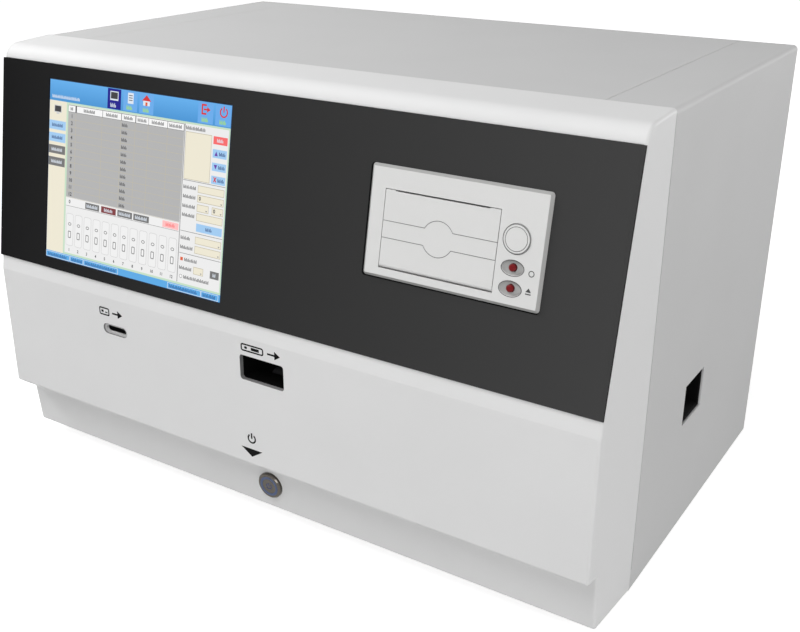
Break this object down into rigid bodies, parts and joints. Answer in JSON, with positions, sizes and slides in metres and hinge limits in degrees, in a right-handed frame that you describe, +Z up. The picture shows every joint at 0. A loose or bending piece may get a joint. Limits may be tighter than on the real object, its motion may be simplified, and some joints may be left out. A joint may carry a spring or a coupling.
{
  "type": "immunofluorescence analyzer",
  "caption": "Bench-top immunofluorescence analyzer with a sloping black fascia, touch screen, panel printer, ID slot, test-card port and side outlet for used cards.",
  "frame": {"origin": "centre of the footprint on the surface that the feet stand on", "axes": "+X to the right as seen from the front, +Y to the back, +Z up"},
  "size_m": [0.466, 0.3104, 0.2992],
  "materials": {
    "housing_plastic": "fine matt moulded shell",
    "cover_paint": "satin powder coat",
    "fascia_black": "satin black sheet",
    "screen_glass": "polished",
    "printer_plastic": "fine matt moulded",
    "button_red": "polished",
    "switch_steel": "turned and brushed",
    "light_blue": "translucent ring",
    "black_plastic": "moulded",
    "board_green": "solder mask",
    "roller_rubber": "ground rubber",
    "sheet_zinc": "zinc-plated sheet",
    "machined_alloy": "anodised",
    "steel_bright": "ground",
    "motor_black": "satin",
    "carousel_plastic": "machined plastic",
    "paper_white": "thermal paper",
    "pin_brass": "plated",
    "lens_glass": "polished"
  },
  "bodies": {
    "chassis": {"base_pan": "sheet_zinc", "board_standoffs": "steel_bright", "card_guide": "black_plastic", "carousel_bearing": "steel_bright", "carousel_motor": "motor_black", "carousel_spindle": "steel_bright", "ejector_bracket": "machined_alloy", "fan_frame": "black_plastic", "fan_guard": "steel_bright", "fascia_panel": "fascia_black", "feed_motor": "motor_black", "front_frame": "sheet_zinc", "front_housing": "housing_plastic", "guide_rails": "steel_bright", "id_board": "board_green", "id_card_socket": "black_plastic", "inlet_pins": "pin_brass", "io_ports": "steel_bright", "lcd_bracket": "sheet_zinc", "lcd_module": "sheet_zinc", "left_cover": "cover_paint", "main_board": "board_green", "mains_inlet": "black_plastic", "mechanism_plate": "machined_alloy", "optics_frame": "machined_alloy", "plate_posts": "steel_bright", "power_light_ring": "light_blue", "power_supply": "sheet_zinc", "power_switch_barrel": "switch_steel", "power_switch_nut": "switch_steel", "print_head": "machined_alloy", "printer_bezel": "printer_plastic", "printer_board": "board_green", "printer_tray": "black_plastic", "rear_panel": "cover_paint", "right_cover": "cover_paint", "rubber_feet": "roller_rubber", "scan_motor": "motor_black", "top_cover": "cover_paint", "touch_glass": "screen_glass", "waste_chute": "machined_alloy"},
    "printer_door": {"printer_door": "printer_plastic", "platen_shaft": "steel_bright"},
    "platen": {"platen_roller": "roller_rubber"},
    "paper": {"paper_roll": "paper_white"},
    "release_button": {"release_button": "printer_plastic"},
    "sel_button": {"sel_button": "button_red"},
    "feed_button": {"feed_button": "button_red"},
    "power_cap": {"power_switch_cap": "switch_steel"},
    "mains_rocker": {"mains_rocker": "black_plastic"},
    "fan_rotor": {"fan_rotor": "black_plastic"},
    "carousel": {"carousel_disc": "carousel_plastic"},
    "pinion": {"carousel_pinion": "carousel_plastic"},
    "feed_roller": {"feed_roller": "roller_rubber"},
    "pinch_roller": {"pinch_roller": "roller_rubber"},
    "optical_head": {"optical_head": "machined_alloy", "lens": "lens_glass"},
    "scan_screw": {"scan_screw": "steel_bright"},
    "ejector": {"ejector": "black_plastic"}
  },
  "joints": [
    {"name": "door_swing", "type": "hinge", "parent": "chassis", "child": "printer_door", "pos_m": [0.12685, -0.14172, 0.20638], "axis": [1, 0, 0], "range_deg": [0, 75]},
    {"name": "platen_spin", "type": "hinge", "parent": "printer_door", "child": "platen", "pos_m": [0.12685, -0.12792, 0.24086], "axis": [1, 0, 0], "continuous": true},
    {"name": "paper_spin", "type": "hinge", "parent": "chassis", "child": "paper", "pos_m": [0.12685, -0.1171, 0.21811], "axis": [1, 0, 0], "continuous": true},
    {"name": "release_press", "type": "slide", "parent": "chassis", "child": "release_button", "axis": [0, 0.9813, -0.1925], "range_m": [0, 0.0015], "stiffness_N_per_m": 800},
    {"name": "sel_press", "type": "slide", "parent": "chassis", "child": "sel_button", "axis": [0, 0.9813, -0.1925], "range_m": [0, 0.0006], "stiffness_N_per_m": 600},
    {"name": "feed_press", "type": "slide", "parent": "chassis", "child": "feed_button", "axis": [0, 0.9813, -0.1925], "range_m": [0, 0.0006], "stiffness_N_per_m": 600},
    {"name": "power_press", "type": "slide", "parent": "chassis", "child": "power_cap", "axis": [0, 0.9972, 0.0747], "range_m": [0, 0.0015], "stiffness_N_per_m": 1000},
    {"name": "rocker_rock", "type": "hinge", "parent": "chassis", "child": "mains_rocker", "pos_m": [-0.185, 0.149, 0.0645], "axis": [1, 0, 0], "range_deg": [-16, 0]},
    {"name": "fan_spin", "type": "hinge", "parent": "chassis", "child": "fan_rotor", "pos_m": [-0.15, 0.1238, 0.205], "axis": [0, 1, 0], "continuous": true},
    {"name": "carousel_spin", "type": "hinge", "parent": "chassis", "child": "carousel", "pos_m": [0.0094, 0.00175, 0.1091], "axis": [0, 0, 1], "continuous": true},
    {"name": "pinion_spin", "type": "hinge", "parent": "chassis", "child": "pinion", "pos_m": [-0.05424, -0.06189, 0.1011], "axis": [0, 0, 1], "continuous": true},
    {"name": "feed_roller_spin", "type": "hinge", "parent": "chassis", "child": "feed_roller", "pos_m": [0.0094, -0.13102, 0.1079], "axis": [1, 0, 0], "continuous": true},
    {"name": "pinch_roller_spin", "type": "hinge", "parent": "chassis", "child": "pinch_roller", "pos_m": [0.0094, -0.13102, 0.12215], "axis": [1, 0, 0], "continuous": true},
    {"name": "head_slide", "type": "slide", "parent": "chassis", "child": "optical_head", "axis": [0, 1, 0], "range_m": [0, 0.045]},
    {"name": "scan_screw_spin", "type": "hinge", "parent": "chassis", "child": "scan_screw", "pos_m": [0.0094, 0.028, 0.141], "axis": [0, 1, 0], "range_deg": [-5, 3245]},
    {"name": "ejector_slide", "type": "slide", "parent": "chassis", "child": "ejector", "axis": [1, 0, 0], "range_m": [0, 0.068]}
  ],
  "couplings": [
    {"joint": "pinion_spin", "follows": "carousel_spin", "ratio": -4},
    {"joint": "scan_screw_spin", "follows": "head_slide", "rad_per_m": 1256.6}
  ]
}
